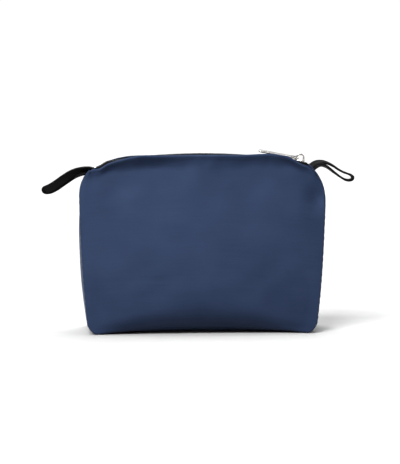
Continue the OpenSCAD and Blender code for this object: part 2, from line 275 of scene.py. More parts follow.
def mesh_piece(name, points, faces, material, uvs=None, normals=None):
    mesh = bpy.data.meshes.new(name)
    mesh.from_pydata([tuple(p) for p in points], [], [tuple(int(i) for i in f) for f in faces])
    mesh.update()
    if uvs is not None:
        layer = mesh.uv_layers.new(name="weave")
        loops = np.zeros(len(mesh.loops), np.int32)
        mesh.loops.foreach_get("vertex_index", loops)
        layer.data.foreach_set("uv", np.asarray(uvs, np.float32)[loops].ravel())
    mesh.polygons.foreach_set("use_smooth", [True] * len(mesh.polygons))
    if normals is not None:
        mesh.normals_split_custom_set_from_vertices([tuple(n) for n in normals])
    mesh.materials.append(material)
    piece = bpy.data.objects.new(name, mesh)
    bpy.context.scene.collection.objects.link(piece)
    return piece


def sheet_piece(name, outer, inner, material, flip=False, open_rims=(), keep=None):
    """A thin closed sheet between an outer and an inner grid. open_rims are the sides, of west, east, south and
    north, that get no rim. keep is a range of columns, to make one half of a sheet."""
    out_n, in_n = normals_of(outer, flip), -normals_of(inner, flip)
    su, sv = arc_lengths(outer)
    if keep is not None:
        cut = slice(*keep)
        outer, inner, out_n, in_n, su, sv = outer[cut], inner[cut], out_n[cut], in_n[cut], su[cut], sv[cut]
    nu, nv = outer.shape[:2]
    count = nu * nv
    index = np.arange(count).reshape(nu, nv)
    quads = np.stack([index[:-1, :-1], index[1:, :-1], index[1:, 1:], index[:-1, 1:]], -1).reshape(-1, 4)
    if flip:
        quads = quads[:, ::-1]
    faces = [quads, quads[:, ::-1] + count]
    rims = {"west": index[0], "east": index[-1][::-1], "south": index[:, 0][::-1], "north": index[:, -1]}
    for side, line in rims.items():
        if side in open_rims:
            continue
        a, b = line[:-1], line[1:]
        rim = np.stack([a, b, b + count, a + count], -1)
        faces.append(rim[:, ::-1] if flip else rim)
    points = np.concatenate([outer.reshape(-1, 3), inner.reshape(-1, 3)])
    normals = np.concatenate([out_n.reshape(-1, 3), in_n.reshape(-1, 3)])
    uv = np.stack([su, sv], -1).reshape(-1, 2)
    return mesh_piece(name, points, np.concatenate(faces), material, np.concatenate([uv, uv]), normals)


def inward(grid, depth, flip):
    depth = np.asarray(depth, float)
    return grid - normals_of(grid, flip) * (depth[..., None] if depth.ndim else depth)


def seam_roll(distance, radius=1.6 * MM, sink=1.1 * MM):
    """How far cloth turns in towards a seam, at a distance from it."""
    t = np.clip(1 - distance / radius, 0, 1)
    return sink * (1 - np.sqrt(np.clip(1 - t * t, 0, 1)))


def ride_blend(piece):
    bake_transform(piece)


def in_halves(name, outer, inner, material, flip=False, nodes=(), open_rims=(), cut_to=None):
    """Makes a sheet across a wall as a left and a right half. cut_to is a half's flat size. A half that has one is
    closed at the middle too, where the two halves' rims meet."""
    middle = outer.shape[0] // 2
    for word, sign, keep, cut in (("left", -1, (0, middle + 1), "east"), ("right", 1, (middle, None), "west")):
        bare = open_rims if cut_to else (*open_rims, cut)
        piece = sheet_piece(f"{name}_{word}", outer, inner, material, flip, bare, keep)
        if nodes:
            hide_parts(*nodes)
        ride_blend(piece)


# ---- Materials


class Nodes:
    """Short ways to build a material's nodes."""

    def __init__(self, name):
        self.material = bpy.data.materials.new(name)
        self.material.use_nodes = True
        self.tree = self.material.node_tree
        self.shader = self.tree.nodes["Principled BSDF"]

    def node(self, kind, **values):
        made = self.tree.nodes.new(kind)
        for key, value in values.items():
            if key.startswith("_"):
                setattr(made, key[1:], value)
            else:
                made.inputs[key.replace("_", " ")].default_value = value
        return made

    def link(self, a, out, b, into):
        self.tree.links.new(a.outputs[out], b.inputs[into])

    def uv(self, scale):
        place = self.node("ShaderNodeUVMap", _uv_map="weave")
        mapping = self.node("ShaderNodeMapping", Scale=scale)
        self.link(place, "UV", mapping, "Vector")
        return mapping

    def solid(self, scale):
        place = self.node("ShaderNodeTexCoord")
        mapping = self.node("ShaderNodeMapping", Scale=scale)
        self.link(place, "Object", mapping, "Vector")
        return mapping

    def noise(self, mapping, scale, detail=2.0, roughness=0.5):
        made = self.node("ShaderNodeTexNoise", Scale=scale, Detail=detail, Roughness=roughness)
        self.link(mapping, "Vector", made, "Vector")
        return made

    def wave(self, mapping, scale, direction, distortion=0.0, detail_scale=1.0):
        made = self.node("ShaderNodeTexWave", _bands_direction=direction, Scale=scale, Distortion=distortion,
                         Detail_Scale=detail_scale)
        self.link(mapping, "Vector", made, "Vector")
        return made

    def math(self, kind, a, b=None, value=0.5):
        made = self.node("ShaderNodeMath", _operation=kind)
        made.inputs[1].default_value = value
        self.tree.links.new(a, made.inputs[0])
        if b is not None:
            self.tree.links.new(b, made.inputs[1])
        return made.outputs[0]

    def ramp(self, source, stops):
        made = self.node("ShaderNodeValToRGB")
        ramp = made.color_ramp
        while len(ramp.elements) < len(stops):
            ramp.elements.new(0.5)
        for element, (place, colour) in zip(ramp.elements, stops):
            element.position = place
            element.color = (*colour, 1)
        self.tree.links.new(source, made.inputs["Fac"])
        return made.outputs["Color"]

    def mix(self, kind, fac, a, b):
        made = self.node("ShaderNodeMixRGB", _blend_type=kind)
        made.inputs["Fac"].default_value = fac
        self.tree.links.new(a, made.inputs["Color1"])
        self.tree.links.new(b, made.inputs["Color2"])
        return made.outputs["Color"]

    def bump(self, height, distance, strength=1.0, under=None):
        made = self.node("ShaderNodeBump", Distance=distance, Strength=strength)
        self.tree.links.new(height, made.inputs["Height"])
        if under is not None:
            self.tree.links.new(under, made.inputs["Normal"])
        return made.outputs["Normal"]

    def set(self, **values):
        for key, value in values.items():
            self.shader.inputs[key.replace("_", " ")].default_value = value

    def to_shader(self, source, into):
        self.tree.links.new(source, self.shader.inputs[into])


def nylon(name, dark, light):
    """Satin-faced nylon: fine crosswise yarns with faint slubs, a soft mottle and a coloured sheen."""
    m = Nodes(name)
    plane = m.uv((1, 1, 1))
    slub = m.noise(m.uv((60, 1500, 1)), 1.0, 2.0, 0.6)
    long_slub = m.noise(m.uv((16, 620, 1)), 1.0, 2.0, 0.5)
    mottle = m.noise(plane, 22.0, 3.0, 0.5)
    weft = m.wave(plane, 2.0 / MM / 6.283, "Y", 0.25)
    warp = m.wave(plane, 2.6 / MM / 6.283, "X", 0.25)
    yarns = m.math("MULTIPLY", weft.outputs["Fac"], warp.outputs["Fac"])
    streaks = m.math("ADD", m.math("MULTIPLY", slub.outputs["Fac"], value=0.6),
                     m.math("MULTIPLY", long_slub.outputs["Fac"], value=0.4))
    tone = m.math("ADD", m.math("MULTIPLY", streaks, value=0.5), m.math("MULTIPLY", mottle.outputs["Fac"], value=0.5))
    colour = m.ramp(tone, [(0.38, dark), (0.62, light)])
    shade = m.ramp(yarns, [(0.0, (0.80, 0.80, 0.80)), (0.55, (1.0, 1.0, 1.0))])
    m.to_shader(m.mix("MULTIPLY", 0.5, colour, shade), "Base Color")
    rough_tone = m.node("ShaderNodeMapRange", To_Min=0.52, To_Max=0.64)
    m.tree.links.new(streaks, rough_tone.inputs["Value"])
    m.to_shader(rough_tone.outputs["Result"], "Roughness")
    low = m.bump(mottle.outputs["Fac"], 0.6 * MM, 0.3)
    mid = m.bump(streaks, 0.05 * MM, 0.35, low)
    m.to_shader(m.bump(yarns, 0.06 * MM, 0.6, mid), "Normal")
    m.set(Specular_IOR_Level=0.12, Specular_Tint=(0.32, 0.52, 0.95, 1), Sheen_Weight=0.03, Sheen_Roughness=0.4,
          Sheen_Tint=(0.40, 0.55, 0.95, 1))
    return m.material


def lining_cloth():
    m = Nodes("lining_polyester")
    weft = m.wave(m.uv((1, 1, 1)), 1.6 / MM / 6.283, "Y", 0.4)
    warp = m.wave(m.uv((1, 1, 1)), 1.6 / MM / 6.283, "X", 0.4)
    yarns = m.math("MULTIPLY", weft.outputs["Fac"], warp.outputs["Fac"])
    mottle = m.noise(m.uv((1, 1, 1)), 35.0, 3.0)
    colour = m.ramp(mottle.outputs["Fac"], [(0.35, (0.050, 0.055, 0.068)), (0.68, (0.085, 0.090, 0.108))])
    shade = m.ramp(yarns, [(0.0, (0.72, 0.72, 0.72)), (0.6, (1.0, 1.0, 1.0))])
    m.to_shader(m.mix("MULTIPLY", 0.7, colour, shade), "Base Color")
    low = m.bump(mottle.outputs["Fac"], 0.9 * MM, 0.5)
    m.to_shader(m.bump(yarns, 0.10 * MM, 0.7, low), "Normal")
    m.set(Roughness=0.68, Specular_IOR_Level=0.3, Sheen_Weight=0.2, Sheen_Roughness=0.5)
    return m.material


def woven_black(name, rib_pitch, direction, rough=0.62, cross=True):
    """Black polyester tape or ribbon with ribs across its run."""
    m = Nodes(name)
    ribs = m.wave(m.uv((1, 1, 1)), 1.0 / rib_pitch / 6.283 * 2, direction, 0.3)
    yarns = m.wave(m.uv((1, 1, 1)), 3.2 / MM / 6.283, "Y" if direction == "X" else "X", 0.5)
    fuzz = m.noise(m.uv((1, 1, 1)), 900.0, 2.0)
    height = m.math("ADD", ribs.outputs["Fac"], m.math("MULTIPLY", yarns.outputs["Fac"], value=0.4 if cross else 0.1))
    colour = m.ramp(height, [(0.1, (0.0016, 0.0016, 0.0018)), (1.0, (0.0048, 0.0048, 0.0052))])
    m.to_shader(colour, "Base Color")
    low = m.bump(fuzz.outputs["Fac"], 0.10 * MM, 0.5)
    m.to_shader(m.bump(height, 0.14 * MM, 0.9, low), "Normal")
    m.set(Roughness=rough, Specular_IOR_Level=0.03)
    return m.material


def coil_plastic():
    m = Nodes("coil_monofilament")
    grain = m.noise(m.solid((1, 1, 1)), 700.0, 2.0)
    m.to_shader(m.ramp(grain.outputs["Fac"], [(0.3, (0.006, 0.006, 0.007)), (0.7, (0.014, 0.014, 0.015))]), "Base Color")
    m.to_shader(m.bump(grain.outputs["Fac"], 0.05 * MM, 0.4), "Normal")
    m.set(Roughness=0.42, Specular_IOR_Level=0.15)
    return m.material


def thread(name, colour):
    m = Nodes(name)
    twist = m.noise(m.solid((1, 1, 1)), 1600.0, 2.0)
    bright = tuple(min(1.0, c * 1.5) for c in colour)
    m.to_shader(m.ramp(twist.outputs["Fac"], [(0.35, colour), (0.65, bright)]), "Base Color")
    m.to_shader(m.bump(twist.outputs["Fac"], 0.06 * MM, 0.8), "Normal")
    m.set(Roughness=0.6, Specular_IOR_Level=0.12)
    return m.material


def nickel():
    """Bright nickel plate on cast zinc, with fine scratches and a little unevenness."""
    m = Nodes("nickel_plate")
    place = m.solid((1, 1, 1))
    cast = m.noise(place, 260.0, 3.0)
    scratch = m.noise(m.solid((300, 3200, 3200)), 1.0, 2.0, 0.6)
    rough = m.node("ShaderNodeMapRange", To_Min=0.08, To_Max=0.16)
    m.tree.links.new(scratch.outputs["Fac"], rough.inputs["Value"])
    m.to_shader(rough.outputs["Result"], "Roughness")
    m.to_shader(m.ramp(cast.outputs["Fac"], [(0.3, (0.33, 0.318, 0.308)), (0.7, (0.42, 0.405, 0.39))]), "Base Color")
    low = m.bump(cast.outputs["Fac"], 0.10 * MM, 0.5)
    m.to_shader(m.bump(scratch.outputs["Fac"], 0.012 * MM, 0.6, low), "Normal")
    m.set(Metallic=1.0)
    return m.material


NAVY = nylon("navy_nylon", (0.0114, 0.0183, 0.0400), (0.0152, 0.0233, 0.0500))
LINING = lining_cloth()
TAPE = woven_black("zip_tape_twill", 0.75 * MM, "X")
RIBBON = woven_black("ribbon_grosgrain", 0.9 * MM, "X", 0.55)
BINDING = woven_black("pocket_binding_tape", 0.7 * MM, "X")
COIL = coil_plastic()
NAVY_THREAD = thread("navy_thread", (0.008, 0.013, 0.030))
BLACK_THREAD = thread("black_thread", (0.004, 0.004, 0.005))
NICKEL = nickel()

# ---- Walls


def wall_parameters(step=2.4 * MM):
    s = spaced(2 * HALF_W, step)
    if len(s) % 2 == 0:
        s = np.concatenate([s[: len(s) // 2], [0.5], s[len(s) // 2:]])
    return 2 * s - 1, spaced(CORNER_H, step)


def wall_outer(side):
    us, vs = wall_parameters()
    u, v = np.meshgrid(us, vs, indexing="ij")
    grid = wall(u, v, side)
    from_side = (1 - np.abs(u)) * HALF_W
    from_base = v * CORNER_H
    sink = np.maximum(seam_roll(from_side), seam_roll(from_base))
    grid = grid - normals_of(grid, side > 0) * sink[..., None]
    return grid, u, v


def make_wall(side):
    word, body = ("front", "front_wall") if side < 0 else ("back", "back_wall")
    outer, u, v = wall_outer(side)
    hem = 1 + 0.9 * smooth((v - 0.962) / 0.012)
    inner = inward(outer, CLOTH_T * 0.9 * hem, side > 0)
    in_halves(f"{word}_shell", outer, inner, NAVY, side > 0, [f"{word}_panel"],
              cut_to=HALF_PANEL_CUT)
    lining_us = slice(3, -3)
    rows = v[0] <= 0.915
    skin = outer[lining_us][:, rows][:, 3:]
    ripple = 0.25 * MM * np.sin(skin[..., 0] * 210 + skin[..., 2] * 90) * np.sin(skin[..., 2] * 150)
    lining_out = inward(skin, CLOTH_T + LAYER_GAP + 0.3 * MM + ripple, side > 0)
    lining_in = inward(skin, CLOTH_T + LAYER_GAP + 0.3 * MM + LINING_T + ripple, side > 0)
    in_halves(f"{word}_lining_cloth", lining_out, lining_in, LINING, side > 0,
              [f"{word}_lining"], cut_to=HALF_LINING_CUT)
    return outer


front_outer = make_wall(-1)
back_outer = make_wall(1)

# ---- Base and gussets


def make_base():
    """The base cloth, whose long edges rise a little in the middle as the walls pull on them."""
    us, ts = 2 * spaced(2 * HALF_W, 4 * MM) - 1, 2 * spaced(2 * BASE_HALF_D, 4 * MM) - 1
    u, t = np.meshgrid(us, ts, indexing="ij")
    half_x = side_x(SEAM_FOOT, u > 0) - 0.9 * MM
    half_y = BASE_HALF_D - 1.2 * MM
    vault = np.clip((np.abs(t) - 0.2) / 0.8, 0, 1) ** 2 * (1 - np.abs(u) ** 2.2)
    edge = np.minimum((1 - np.abs(u)) * half_x, (1 - np.abs(t)) * half_y)
    z = 0.15 * MM + (np.where(t < 0, FRONT_BOW, BACK_BOW) - 0.1 * MM) * vault + seam_roll(edge, 2.2 * MM, 0.6 * MM)
    drawn_in = np.where(t < 0, foot_in(u, 0, -1), foot_in(u, 0, 1))
    grid = np.stack([u * half_x, t * (half_y - drawn_in), z], -1)
    inner = grid + np.array([0, 0, 0.9 * MM])
    base = sheet_piece("base_cloth", grid, inner, NAVY, flip=True)
    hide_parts("base_panel")
    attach(base, "pouch")
    inset = 0.965
    low = grid * np.array([inset, inset, 1]) + np.array([0, 0, 1.15 * MM])
    lining = sheet_piece("base_lining_cloth", low, low + np.array([0, 0, LINING_T]), LINING, flip=True)
    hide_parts("base_lining")
    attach(lining, "pouch")


def gusset_path(sign, step=3 * MM):
    """Points up a gusset's middle and over to the end of the zip, with its front and back edges at each."""
    v = spaced(CORNER_H, step, (0.0, 0.35, 0.8, 1.4, 2.1, 3.0, 4.5, 6.0))
    edges = [wall(np.full_like(v, sign), v, side)[:, 1] for side in (-1, 1)]
    up = np.stack([seam_x(v, sign > 0), seam_z(v), *edges, v], -1)
    x = np.linspace(CORNER_X, 0.1065, 8)[1:]
    mouth = np.full(7, MOUTH_HALF)
    over = np.stack([x, zip_z(sign * x) - 0.2 * MM, -mouth, mouth, np.ones(7)], -1)
    return np.concatenate([up, over])


def make_gusset(sign):
    word = "left" if sign < 0 else "right"
    path = gusset_path(sign)
    ss = 2 * spaced(2 * BASE_HALF_D, 3 * MM, (0.0, 0.35, 0.8, 1.4, 2.1)) - 1
    s, x = np.meshgrid(ss, path[:, 0], indexing="ij")
    z, front, back, v = (np.broadcast_to(path[:, k], s.shape) for k in (1, 2, 3, 4))
    d = (back - front) / 2
    pinch = 1 - s * s
    x = x + GUSSET_CROWN * np.sin(np.pi * v) * pinch
    dent = -1.6 * MM * hump(z, 0.128, 0.018) * pinch + 0.8 * MM * hump(z, 0.05, 0.03) * pinch
    pucker = 0.25 * MM * np.sin(z * 900) * (1 - pinch) * smooth((d - 0.009) / 0.006)
    grid = np.stack([sign * (x + dent + pucker), (front + back) / 2 + s * (d - 0.15 * MM), z], -1)
    flip = sign < 0
    roll = seam_roll((1 - np.abs(s)) * d, 1.4 * MM, 1.0 * MM) + seam_roll(v * CORNER_H, 1.4 * MM, 1.0 * MM)
    outer = grid - normals_of(grid, flip) * roll[..., None]
    shell = sheet_piece(f"{word}_gusset_cloth", outer, inward(outer, 0.9 * CLOTH_T, flip), NAVY, flip)
    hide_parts(f"{word}_gusset")
    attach(shell, "pouch")
    rows = path[:, 3] <= 0.95
    skin = outer[2:-2][:, rows][:, 3:]
    skin = skin * np.array([1, 0.97, 1])
    lining_out = inward(skin, CLOTH_T + LAYER_GAP, flip)
    lining = sheet_piece(f"{word}_gusset_lining_cloth", lining_out, inward(skin, CLOTH_T + LAYER_GAP + LINING_T, flip),
                         LINING, flip)
    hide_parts(f"{word}_gusset_lining")
    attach(lining, "pouch")


make_base()
make_gusset(-1)
make_gusset(1)

# ---- Zip tapes

COIL_HALF_W = 2.9 * MM
PART_Y = 1.6 * MM
PART_START = PARK_X - 3 * MM + 0.8 * MM
PART_LENGTH = 4.5 * MM


def parted(x):
    """How far each coil stands off its meshed place, where the parked slider's post parts the two."""
    return PART_Y * smooth((np.asarray(x) - PART_START) / PART_LENGTH)


def make_tape(side):
    """A tape from its sewn edge under the wall up to the coil."""
    word, body = ("front", "front_wall") if side < 0 else ("back", "back_wall")
    xs = np.linspace(-0.1085, 0.1085, 109)
    flat_y = MOUTH_HALF - 1.45 * MM
    rows = []
    for v in (0.93, 0.95, 0.97, 0.985):
        p = wall(xs / CORNER_X, np.full_like(xs, v), side)
        q = wall(xs / CORNER_X, np.full_like(xs, v - 0.01), side)
        out = np.stack([np.zeros_like(xs), side * (p - q)[:, 2], -side * (p - q)[:, 1]], -1)
        out /= np.linalg.norm(out, axis=1, keepdims=True)
        rows.append(p - out * (CLOTH_T * 1.9 + 0.2 * MM))
    height = zip_z(xs) + 0.25 * MM
    inner_edge = COIL_HALF_W + 0.05 * MM + parted(xs)
    for share, lift in ((1.0, -0.5 * MM), (0.85, 0.0), (0.55, 0.0), (0.25, 0.0), (0.0, 0.0)):
        y = inner_edge + (flat_y - inner_edge) * share
        rows.append(np.stack([xs, side * y, height + lift], -1))
    grid = np.stack(rows, 1)
    in_halves(f"{word}_tape", grid, inward(grid, 0.45 * MM, side > 0), TAPE, side > 0,
              [f"{word}_zip_tape", "left_zip_end", "right_zip_end"])


make_tape(-1)
make_tape(1)

# ---- Tubes, for coils, threads and cords


def tube(points, radii, sides=8, up=(0, 0, 1), flatten=1.0):
    """Points and faces of a tube along a line of points."""
    points = np.asarray(points, float)
    radii = np.broadcast_to(np.asarray(radii, float), len(points))
    along = np.gradient(points, axis=0)
    along /= np.maximum(np.linalg.norm(along, axis=1, keepdims=True), 1e-12)
    side = np.cross(along, np.asarray(up, float))
    side /= np.maximum(np.linalg.norm(side, axis=1, keepdims=True), 1e-12)
    over = np.cross(side, along)
    turn = np.linspace(0, 2 * np.pi, sides, endpoint=False)
    ring = side[:, None] * np.cos(turn)[None, :, None] + flatten * over[:, None] * np.sin(turn)[None, :, None]
    verts = (points[:, None] + ring * radii[:, None, None]).reshape(-1, 3)
    faces = []
    n = len(points)
    for i in range(n - 1):
        for k in range(sides):
            a, b = i * sides + k, i * sides + (k + 1) % sides
            faces.append((a, b, b + sides, a + sides))
    faces.append(tuple(reversed(range(sides))))
    faces.append(tuple((n - 1) * sides + k for k in range(sides)))
    return verts, faces


def joined(parts):
    """Several (points, faces) as one."""
    points, faces, start = [], [], 0
    for verts, polys in parts:
        points.append(np.asarray(verts))
        faces += [tuple(i + start for i in poly) for poly in polys]
        start += len(verts)
    return np.concatenate(points), faces


def on_arch(s, y, z):
    """Points at arc length s along the zip, y across it and z out from the middle of the coil."""
    angle = np.asarray(s) / ARCH_R
    r = ARCH_R + np.asarray(z)
    drop = droop(ARCH_R * np.sin(angle))
    return np.stack([r * np.sin(angle), np.broadcast_to(y, angle.shape), ARCH_Z + r * np.cos(angle) - drop], -1)


COIL_PITCH = 2.4 * MM
FILAMENT_R = 0.37 * MM
COIL_END_S = ARCH_R * math.asin(0.104 / ARCH_R)


def coil_half(side, sign, shift):
    """Half of one wound coil: a flattened helix whose heads reach past the middle of the zip."""
    turns = int(COIL_END_S / COIL_PITCH) - 1
    t = np.arange(0, turns * 18 + 1) / 18.0
    phase = 2 * np.pi * t
    s = sign * (t + 0.15) * COIL_PITCH + shift * COIL_PITCH
    wide = np.cos(phase)
    y_local = -1.05 * MM + 1.50 * MM * np.sign(wide) * np.abs(wide) ** 0.85
    z_local = 0.60 * MM * np.sin(phase)
    off = parted(ARCH_R * np.sin(s / ARCH_R)) if sign > 0 else 0.0
    y = -side * (y_local - off)
    radius = FILAMENT_R + 0.07 * MM * np.clip(wide, 0, 1) ** 4
    path = on_arch(s, y, z_local)
    return tube(path, radius, 7, up=(0, 1, 0))


def core_half(side, sign):
    """The cord that the coil is wound on."""
    s = sign * np.linspace(0, COIL_END_S, 60)
    off = parted(ARCH_R * np.sin(s / ARCH_R)) if sign > 0 else np.zeros_like(s)
    core = tube(on_arch(s, side * (1.35 * MM + off), 0 * s), 0.42 * MM, 6, up=(0, 1, 0))
    return core


def sewing_half(side, sign):
    """Short bars of thread over each turn, which hold the coil to its tape."""
    parts = []
    count = int(COIL_END_S / COIL_PITCH)
    for k in range(count):
        for lean in (-1, 1):
            s = sign * (k + 0.5 + 0.16 * lean) * COIL_PITCH
            run = np.linspace(0, 1, 5)
            off = float(parted(ARCH_R * math.sin(s / ARCH_R))) if sign > 0 else 0.0
            y = side * (1.5 * MM + 1.7 * MM * run + off)
            z = 1.02 * MM - 0.5 * MM * smooth(run * 1.4 - 0.4)
            along = s + lean * sign * 0.25 * MM * (run - 0.5)
            parts.append(tube(on_arch(along, y, z), 0.13 * MM, 5, up=(0, 0, 1)))
    return joined(parts)


def make_coil(side):
    word, body = ("front", "front_wall") if side < 0 else ("back", "back_wall")
    shift = 0.0 if side < 0 else 0.5
    for half, sign in (("left", -1), ("right", 1)):
        coil = mesh_piece(f"{word}_coil_{half}", *joined([coil_half(side, sign, shift), core_half(side, sign)]), COIL)
        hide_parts(f"{word}_zip_coil", "left_coil_end", "right_coil_end")
        ride_blend(coil)
        sewing = mesh_piece(f"{word}_coil_stitches_{half}", *sewing_half(side, sign), BLACK_THREAD)
        ride_blend(sewing)


make_coil(-1)
make_coil(1)

# ---- Topstitching beside the zip


def stitch_row(points, normals, length=2.3 * MM, gap=0.7 * MM, radius=0.19 * MM):
    """Stitches along a line of points, standing on the side that the normals show."""
    steps = np.linalg.norm(np.diff(points, axis=0), axis=1)
    s = np.concatenate([[0], np.cumsum(steps)])
    parts = []
    start = gap
    while start + length < s[-1]:
        at = start + length * np.linspace(0, 1, 6)
        line = np.stack([np.interp(at, s, points[:, k]) for k in range(3)], -1)
        up = np.stack([np.interp(at, s, normals[:, k]) for k in range(3)], -1)
        height = radius * (1.2 * np.sin(np.pi * np.linspace(0, 1, 6)) - 0.45)
        slim = radius * np.array([0.55, 0.95, 1.0, 1.0, 0.95, 0.55])
        parts.append(tube(line + up * height[:, None], slim, 6, up=tuple(up[2])))
        start += length + gap
    return joined(parts)


def make_topstitch(side, outer):
    word, body = ("front", "front_wall") if side < 0 else ("back", "back_wall")
    us, vs = wall_parameters()
    row = int(np.argmin(np.abs(vs - (1 - 2.6 * MM / CORNER_H))))
    normals = normals_of(outer, side > 0)
    middle = len(us) // 2
    for half, sign, cut in (("left", -1, slice(middle, 4, -1)), ("right", 1, slice(middle, -5))):
        stitches = mesh_piece(f"{word}_topstitch_{half}", *stitch_row(outer[cut, row], normals[cut, row]), NAVY_THREAD)
        ride_blend(stitches)


make_topstitch(-1, front_outer)
make_topstitch(1, back_outer)

# ---- Metal parts


def plate(name, outlines, thickness, bevel, place):
    """A flat metal part with rounded edges, from an outline and its holes, centred on its own plane."""
    curve = bpy.data.curves.new(name, "CURVE")
    curve.dimensions = "2D"
    curve.fill_mode = "BOTH"
    curve.extrude = thickness / 2 - bevel
    curve.bevel_depth = bevel
    curve.bevel_resolution = 3
    curve.offset = -bevel
    for outline in outlines:
        spline = curve.splines.new("POLY")
        spline.points.add(len(outline) - 1)
        for point, (x, y) in zip(spline.points, outline):
            point.co = (x, y, 0, 1)
        spline.use_cyclic_u = True
    maker = bpy.data.objects.new(name + "_outline", curve)
    bpy.context.scene.collection.objects.link(maker)
    mesh = bpy.data.meshes.new_from_object(maker)
    bpy.data.objects.remove(maker)
    mesh.name = name
    mesh.transform(place)
    return mesh


def arc(cx, cy, r, start, end, count=16):
    return [(cx + r * math.cos(math.radians(a)), cy + r * math.sin(math.radians(a)))
            for a in np.linspace(start, end, count)]


def slider_place():
    """The slider's own frame at rest: x along the zip, z out from the middle of the coil."""
    spin = Matrix.Rotation(PARK_ANGLE, 4, "Y")
    return Matrix.Translation((0, 0, ARCH_Z)) @ spin @ Matrix.Translation((0, 0, ARCH_R))


def slider_outline(grow=0.0):
    rear, front, half = 4.0 * MM + grow, 5.45 * MM + grow, 5.3 * MM + grow
    r = 1.3 * MM
    top = []
    top += arc(half - 2 * r, front - 2 * r, 2 * r, 0, 90, 9)
    top += [(1.5 * MM, front), (0.6 * MM, front - 0.25 * MM), (-2.2 * MM, rear + 0.2 * MM), (-3.0 * MM, rear)]
    top += arc(-half + r, rear - r, r, 90, 180, 7)
    return top + [(x, -y) for x, y in reversed(top)]


def as_piece(name, meshes, material, nodes, body):
    """Several meshes as one piece that rides on a body."""
    bm = bmesh.new()
    for mesh in meshes:
        bm.from_mesh(mesh)
    bmesh.ops.remove_doubles(bm, verts=bm.verts, dist=1e-7)
    bmesh.ops.recalc_face_normals(bm, faces=bm.faces)
    whole = bpy.data.meshes.new(name)
    bm.to_mesh(whole)
    bm.free()
    for polygon in whole.polygons:
        polygon.use_smooth = True
    whole.set_sharp_from_angle(angle=math.radians(38))
    whole.materials.clear()
    whole.materials.append(material)
    piece = bpy.data.objects.new(name, whole)
    bpy.context.scene.collection.objects.link(piece)
    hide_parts(*nodes)
    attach(piece, body)
    return piece


def swept(name, points, width, thickness, place, sides=16, corner=0.35):
    """A strap of rounded section along points in the xz plane, width across y."""
    points = np.asarray(points)
    along = np.gradient(points, axis=0)
    along /= np.linalg.norm(along, axis=1, keepdims=True)
    out = np.stack([-along[:, 1], along[:, 0]], -1)
    turn = np.linspace(0, 2 * np.pi, sides, endpoint=False)
    c, s = np.cos(turn), np.sin(turn)
    a = np.sign(c) * np.abs(c) ** corner * np.asarray(width).reshape(-1, 1) / 2
    b = np.sign(s) * np.abs(s) ** corner * np.asarray(thickness).reshape(-1, 1) / 2
    x = points[:, 0:1] + out[:, 0:1] * b
    z = points[:, 1:2] + out[:, 1:2] * b
    verts = np.stack([x, np.broadcast_to(a, x.shape), z], -1).reshape(-1, 3)
    n = len(points)
    faces = []
    for i in range(n - 1):
        for k in range(sides):
            p, q = i * sides + k, i * sides + (k + 1) % sides
            faces.append((p, q, q + sides, p + sides))
    faces += [tuple(range(sides)), tuple((n - 1) * sides + k for k in reversed(range(sides)))]
    mesh = bpy.data.meshes.new(name)
    mesh.from_pydata([tuple(v) for v in verts], [], faces)
    mesh.transform(place)
    return mesh


PLATE_Z = 1.8 * MM
PLATE_T = 0.9 * MM
BRIDGE_Z = 3.7 * MM


def make_slider():
    place = slider_place()
    parts = []
    for sign in (-1, 1):
        at = place @ Matrix.Translation((0, 0, sign * PLATE_Z))
        parts.append(plate("slider_plate", [slider_outline()], PLATE_T, 0.28 * MM, at))
    # Flanges: rails along both edges of each plate, bent towards each other
    rail_line = [(-5.0, 3.65), (-3.0, 3.65), (-0.8, 4.35), (1.5, 5.08), (4.0, 5.08)]
    for sign_z in (-1, 1):
        for sign_y in (-1, 1):
            run = np.linspace(0, 1, 24)
            xs = np.interp(run, np.linspace(0, 1, 5), [p[0] for p in rail_line]) * MM
            ys = np.interp(run, np.linspace(0, 1, 5), [p[1] for p in rail_line]) * MM
            line = np.stack([xs, sign_y * ys, np.full(24, sign_z * 1.10 * MM)], -1)
            verts, faces = tube(line, 0.36 * MM, 10, flatten=1.15)
            rail = bpy.data.meshes.new("rail")
            rail.from_pydata([tuple(v) for v in verts], [], faces)
            rail.transform(place)
            parts.append(rail)
    post = [(1.6, 0), (2.2, -0.28), (3.6, -0.6), (4.9, -0.4), (4.9, 0.4), (3.6, 0.6), (2.2, 0.28)]
    parts.append(plate("slider_post", [[(x * MM, y * MM) for x, y in post]], 3.1 * MM, 0.08 * MM, place))
    as_piece("slider_shell", parts, NICKEL, ["slider_body"], "slider")
    angles = np.radians(np.linspace(-24, 204, 40))
    path = np.stack([3.95 * MM * np.cos(angles), BRIDGE_Z + 3.95 * MM * np.sin(angles)], -1)
    foot = np.abs(np.linspace(-1, 1, 40)) ** 6
    strap = swept("bridge", path, 2.5 * MM + 0.5 * MM * foot, 1.9 * MM + 0.1 * MM * foot, place, 20, 0.6)
    as_piece("slider_arch", [strap], NICKEL, ["slider_bridge"], "slider")


PULL_PIVOT = (-2.2 * MM, 3.85 * MM)
PULL_TILT = math.radians(-1)
PULL_ROLL = math.radians(14)
PULL_L = 40 * MM
PULL_W = 6.2 * MM
PULL_T = 1.5 * MM


